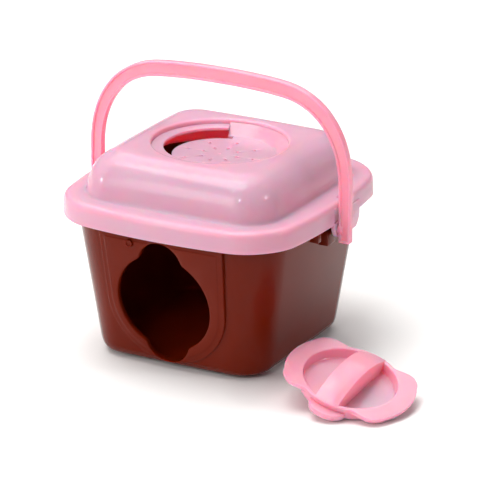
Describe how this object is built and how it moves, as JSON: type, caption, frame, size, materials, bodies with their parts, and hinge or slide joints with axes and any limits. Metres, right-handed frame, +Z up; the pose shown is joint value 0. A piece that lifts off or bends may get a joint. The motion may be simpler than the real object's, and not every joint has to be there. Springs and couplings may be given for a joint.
{
  "type": "small pet travel carrier",
  "caption": "Small pet travel carrier: tapered tub with a round door opening, domed lift-off lid with a vented round well, swinging carry handle and a loose round door cap.",
  "frame": {"origin": "middle of the tub's flat underside, 2.2 mm above the floor that its moulded feet stand on", "axes": "+Z up, -Y out through the round door in the tub's front wall, X along the handle's swing axis, with the loose door cap on the +X side"},
  "size_m": [0.2262, 0.1604, 0.16],
  "materials": {
    "brown_plastic": "gloss",
    "pink_plastic": "gloss"
  },
  "bodies": {
    "tub": {"tub": "brown_plastic"},
    "lid": {"lid": "pink_plastic"},
    "handle": {"carry_handle": "pink_plastic"},
    "cap": {"door_cap": "pink_plastic"}
  },
  "joints": [
    {"name": "lid_lift", "type": "slide", "parent": "tub", "child": "lid", "axis": [0, 0, 1], "range_m": [0, 0.06]},
    {"name": "handle_swing", "type": "hinge", "parent": "lid", "child": "handle", "pos_m": [0, 0, 0.0758], "axis": [1, 0, 0], "range_deg": [-68, 68]},
    {"name": "cap_lift", "type": "slide", "parent": "tub", "child": "cap", "axis": [0, 0, 1], "range_m": [0, 0.045]}
  ]
}
